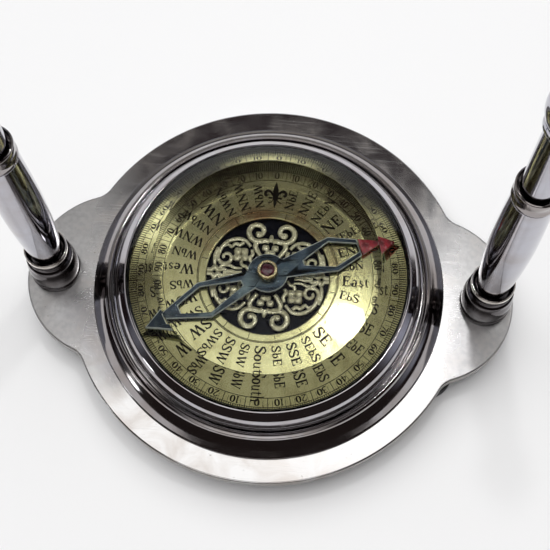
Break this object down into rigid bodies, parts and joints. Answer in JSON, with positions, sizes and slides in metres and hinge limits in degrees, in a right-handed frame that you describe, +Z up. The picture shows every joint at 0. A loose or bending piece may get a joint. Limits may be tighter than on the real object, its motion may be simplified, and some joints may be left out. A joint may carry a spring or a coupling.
{
  "type": "tabletop binnacle compass",
  "caption": "Free-standing marine compass: a lobed plate carries a glazed bowl with a swinging needle between turned columns.",
  "frame": {"origin": "on the surface it stands on, straight below the needle's pivot", "axes": "+Z up; +Y towards the dial's north; the columns stand on the X axis"},
  "size_m": [0.1234, 0.1, 0.1207],
  "materials": {
    "plate_nickel": "worn nickel plate with fine scratches",
    "bezel_chrome": "polished nickel-chrome plate",
    "column_chrome": "polished nickel-chrome plate",
    "fixing_steel": "plain turned steel",
    "foot_rubber": "matte black rubber",
    "gasket_rubber": "matte black rubber",
    "crystal_glass": "clear bevelled glass",
    "dial_brass": "printed and lacquered brass, mottled with age",
    "fret_brass": "raised brass scrollwork",
    "rosette_enamel": "dark navy enamel",
    "needle_steel": "blued steel",
    "needle_red": "red lacquer",
    "cap_brass": "polished brass",
    "jewel_red": "polished dark red cabochon"
  },
  "bodies": {
    "stand": {"base_plate": "plate_nickel", "bezel_outer_ring": "bezel_chrome", "groove_bead": "bezel_chrome", "bezel_crown_ring": "bezel_chrome", "left_ferrule": "column_chrome", "left_lower_shaft": "column_chrome", "left_mid_ring": "column_chrome", "left_upper_shaft": "column_chrome", "left_upper_ring": "column_chrome", "left_finial": "column_chrome", "right_ferrule": "column_chrome", "right_lower_shaft": "column_chrome", "right_mid_ring": "column_chrome", "right_upper_shaft": "column_chrome", "right_upper_ring": "column_chrome", "right_finial": "column_chrome", "pivot_post": "fixing_steel", "pivot_washer": "fixing_steel", "pivot_nut": "fixing_steel", "left_tie_rod": "fixing_steel", "left_washer": "fixing_steel", "left_nut": "fixing_steel", "right_tie_rod": "fixing_steel", "right_washer": "fixing_steel", "right_nut": "fixing_steel", "ring_screw_1": "fixing_steel", "ring_screw_2": "fixing_steel", "ring_screw_3": "fixing_steel", "ring_screw_4": "fixing_steel", "foot_screw_1": "fixing_steel", "foot_screw_2": "fixing_steel", "foot_screw_3": "fixing_steel", "foot_screw_4": "fixing_steel", "foot_1": "foot_rubber", "foot_2": "foot_rubber", "foot_3": "foot_rubber", "foot_4": "foot_rubber", "glass_gasket": "gasket_rubber", "crystal": "crystal_glass", "dial_plate": "dial_brass", "bowl_floor": "dial_brass", "rosette_fret": "fret_brass", "rosette_backing": "rosette_enamel"},
    "needle": {"needle_blade": "needle_steel", "needle_red_tip": "needle_red", "needle_cap": "cap_brass", "needle_jewel": "jewel_red"}
  },
  "joints": [
    {"name": "needle_spin", "type": "hinge", "parent": "stand", "child": "needle", "pos_m": [0, 0, 0.0133], "axis": [0, 0, 1], "continuous": true}
  ]
}
